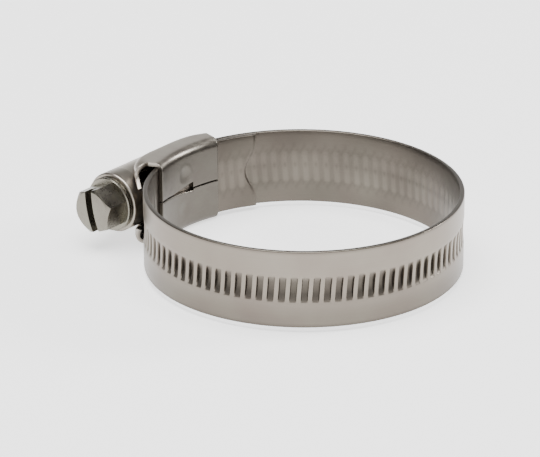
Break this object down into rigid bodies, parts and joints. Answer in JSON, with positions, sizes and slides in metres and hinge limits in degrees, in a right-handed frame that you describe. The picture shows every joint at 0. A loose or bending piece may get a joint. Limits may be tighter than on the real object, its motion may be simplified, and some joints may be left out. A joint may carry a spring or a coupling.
{
  "type": "worm-drive hose clamp",
  "caption": "Worm-drive hose clamp: slotted steel band drawn through a pressed housing by a captive worm screw with a hexagonal, slotted head.",
  "frame": {"origin": "centre of the arc on which the band's threaded end slides through the housing, at mid-width of the band", "axes": "+Z along the axis of the hose; X and Y in the plane of the ring, with the housing and screw on the side of minus X and plus Y"},
  "size_m": [0.064, 0.0543, 0.0146],
  "materials": {
    "band_steel": "satin",
    "housing_steel": "satin",
    "screw_steel": "bright, turned"
  },
  "bodies": {
    "clamp_body": {"housing": "housing_steel", "band_fixed_end": "band_steel"},
    "screw": {"screw": "screw_steel"},
    "band_tail": {"band_tail": "band_steel"},
    "band_fixed_side_1": {"band_fixed_side_1": "band_steel"},
    "band_fixed_side_2": {"band_fixed_side_2": "band_steel"},
    "band_fixed_side_3": {"band_fixed_side_3": "band_steel"},
    "band_fixed_side_4": {"band_fixed_side_4": "band_steel"},
    "band_fixed_side_5": {"band_fixed_side_5": "band_steel"},
    "band_fixed_side_6": {"band_fixed_side_6": "band_steel"},
    "band_fixed_side_7": {"band_fixed_side_7": "band_steel"},
    "band_tail_side_1": {"band_tail_side_1": "band_steel"},
    "band_tail_side_2": {"band_tail_side_2": "band_steel"},
    "band_tail_side_3": {"band_tail_side_3": "band_steel"},
    "band_tail_side_4": {"band_tail_side_4": "band_steel"},
    "band_tail_side_5": {"band_tail_side_5": "band_steel"},
    "band_tail_side_6": {"band_tail_side_6": "band_steel"},
    "band_tail_side_7": {"band_tail_side_7": "band_steel"}
  },
  "joints": [
    {"name": "screw_turn", "type": "hinge", "parent": "clamp_body", "child": "screw", "pos_m": [-0.02367, 0.01908, 0], "axis": [0.6275, 0.7786, 0], "range_deg": [0, 8640]},
    {"name": "tail_travel", "type": "hinge", "parent": "clamp_body", "child": "band_tail", "pos_m": [0, 0, 0], "axis": [0, 0, 1], "range_deg": [0, 93.92]},
    {"name": "fixed_side_bend_1", "type": "hinge", "parent": "clamp_body", "child": "band_fixed_side_1", "pos_m": [-0.02415, 0.00667, 0], "axis": [0, 0, 1], "range_deg": [0, 9.44]},
    {"name": "fixed_side_bend_2", "type": "hinge", "parent": "band_fixed_side_1", "child": "band_fixed_side_2", "pos_m": [-0.02501, -0.00033, 0], "axis": [0, 0, 1], "range_deg": [0, 9]},
    {"name": "fixed_side_bend_3", "type": "hinge", "parent": "band_fixed_side_2", "child": "band_fixed_side_3", "pos_m": [-0.02391, -0.00729, 0], "axis": [0, 0, 1], "range_deg": [0, 8.14]},
    {"name": "fixed_side_bend_4", "type": "hinge", "parent": "band_fixed_side_3", "child": "band_fixed_side_4", "pos_m": [-0.02095, -0.01369, 0], "axis": [0, 0, 1], "range_deg": [0, 6.98]},
    {"name": "fixed_side_bend_5", "type": "hinge", "parent": "band_fixed_side_4", "child": "band_fixed_side_5", "pos_m": [-0.01635, -0.01903, 0], "axis": [0, 0, 1], "range_deg": [0, 5.7]},
    {"name": "fixed_side_bend_6", "type": "hinge", "parent": "band_fixed_side_5", "child": "band_fixed_side_6", "pos_m": [-0.01046, -0.0229, 0], "axis": [0, 0, 1], "range_deg": [0, 4.49]},
    {"name": "fixed_side_bend_7", "type": "hinge", "parent": "band_fixed_side_6", "child": "band_fixed_side_7", "pos_m": [-0.00374, -0.02501, 0], "axis": [0, 0, 1], "range_deg": [0, 3.52]},
    {"name": "tail_side_bend_1", "type": "hinge", "parent": "band_tail", "child": "band_tail_side_1", "pos_m": [0.02533, 0.00538, 0], "axis": [0, 0, 1], "range_deg": [-9.91, 0]},
    {"name": "tail_side_bend_2", "type": "hinge", "parent": "band_tail_side_1", "child": "band_tail_side_2", "pos_m": [0.02583, -0.00165, 0], "axis": [0, 0, 1], "range_deg": [-8.61, 0]},
    {"name": "tail_side_bend_3", "type": "hinge", "parent": "band_tail_side_2", "child": "band_tail_side_3", "pos_m": [0.02438, -0.00854, 0], "axis": [0, 0, 1], "range_deg": [-7.22, 0]},
    {"name": "tail_side_bend_4", "type": "hinge", "parent": "band_tail_side_3", "child": "band_tail_side_4", "pos_m": [0.02109, -0.01478, 0], "axis": [0, 0, 1], "range_deg": [-6.01, 0]},
    {"name": "tail_side_bend_5", "type": "hinge", "parent": "band_tail_side_4", "child": "band_tail_side_5", "pos_m": [0.01622, -0.01987, 0], "axis": [0, 0, 1], "range_deg": [-5.18, 0]},
    {"name": "tail_side_bend_6", "type": "hinge", "parent": "band_tail_side_5", "child": "band_tail_side_6", "pos_m": [0.01014, -0.02344, 0], "axis": [0, 0, 1], "range_deg": [-4.82, 0]},
    {"name": "tail_side_bend_7", "type": "hinge", "parent": "band_tail_side_6", "child": "band_tail_side_7", "pos_m": [0.00331, -0.02519, 0], "axis": [0, 0, 1], "range_deg": [-4.97, 0]}
  ],
  "couplings": [
    {"joint": "tail_travel", "follows": "screw_turn", "ratio": 0.01087},
    {"joint": "fixed_side_bend_1", "follows": "screw_turn", "ratio": 0.0010921},
    {"joint": "fixed_side_bend_2", "follows": "screw_turn", "ratio": 0.001041},
    {"joint": "fixed_side_bend_3", "follows": "screw_turn", "ratio": 0.00094194},
    {"joint": "fixed_side_bend_4", "follows": "screw_turn", "ratio": 0.00080757},
    {"joint": "fixed_side_bend_5", "follows": "screw_turn", "ratio": 0.00065891},
    {"joint": "fixed_side_bend_6", "follows": "screw_turn", "ratio": 0.00051876},
    {"joint": "fixed_side_bend_7", "follows": "screw_turn", "ratio": 0.00040627},
    {"joint": "tail_side_bend_1", "follows": "screw_turn", "ratio": -0.0011462},
    {"joint": "tail_side_bend_2", "follows": "screw_turn", "ratio": -0.00099604},
    {"joint": "tail_side_bend_3", "follows": "screw_turn", "ratio": -0.00083475},
    {"joint": "tail_side_bend_4", "follows": "screw_turn", "ratio": -0.00069518},
    {"joint": "tail_side_bend_5", "follows": "screw_turn", "ratio": -0.00059897},
    {"joint": "tail_side_bend_6", "follows": "screw_turn", "ratio": -0.00055757},
    {"joint": "tail_side_bend_7", "follows": "screw_turn", "ratio": -0.00057438}
  ]
}
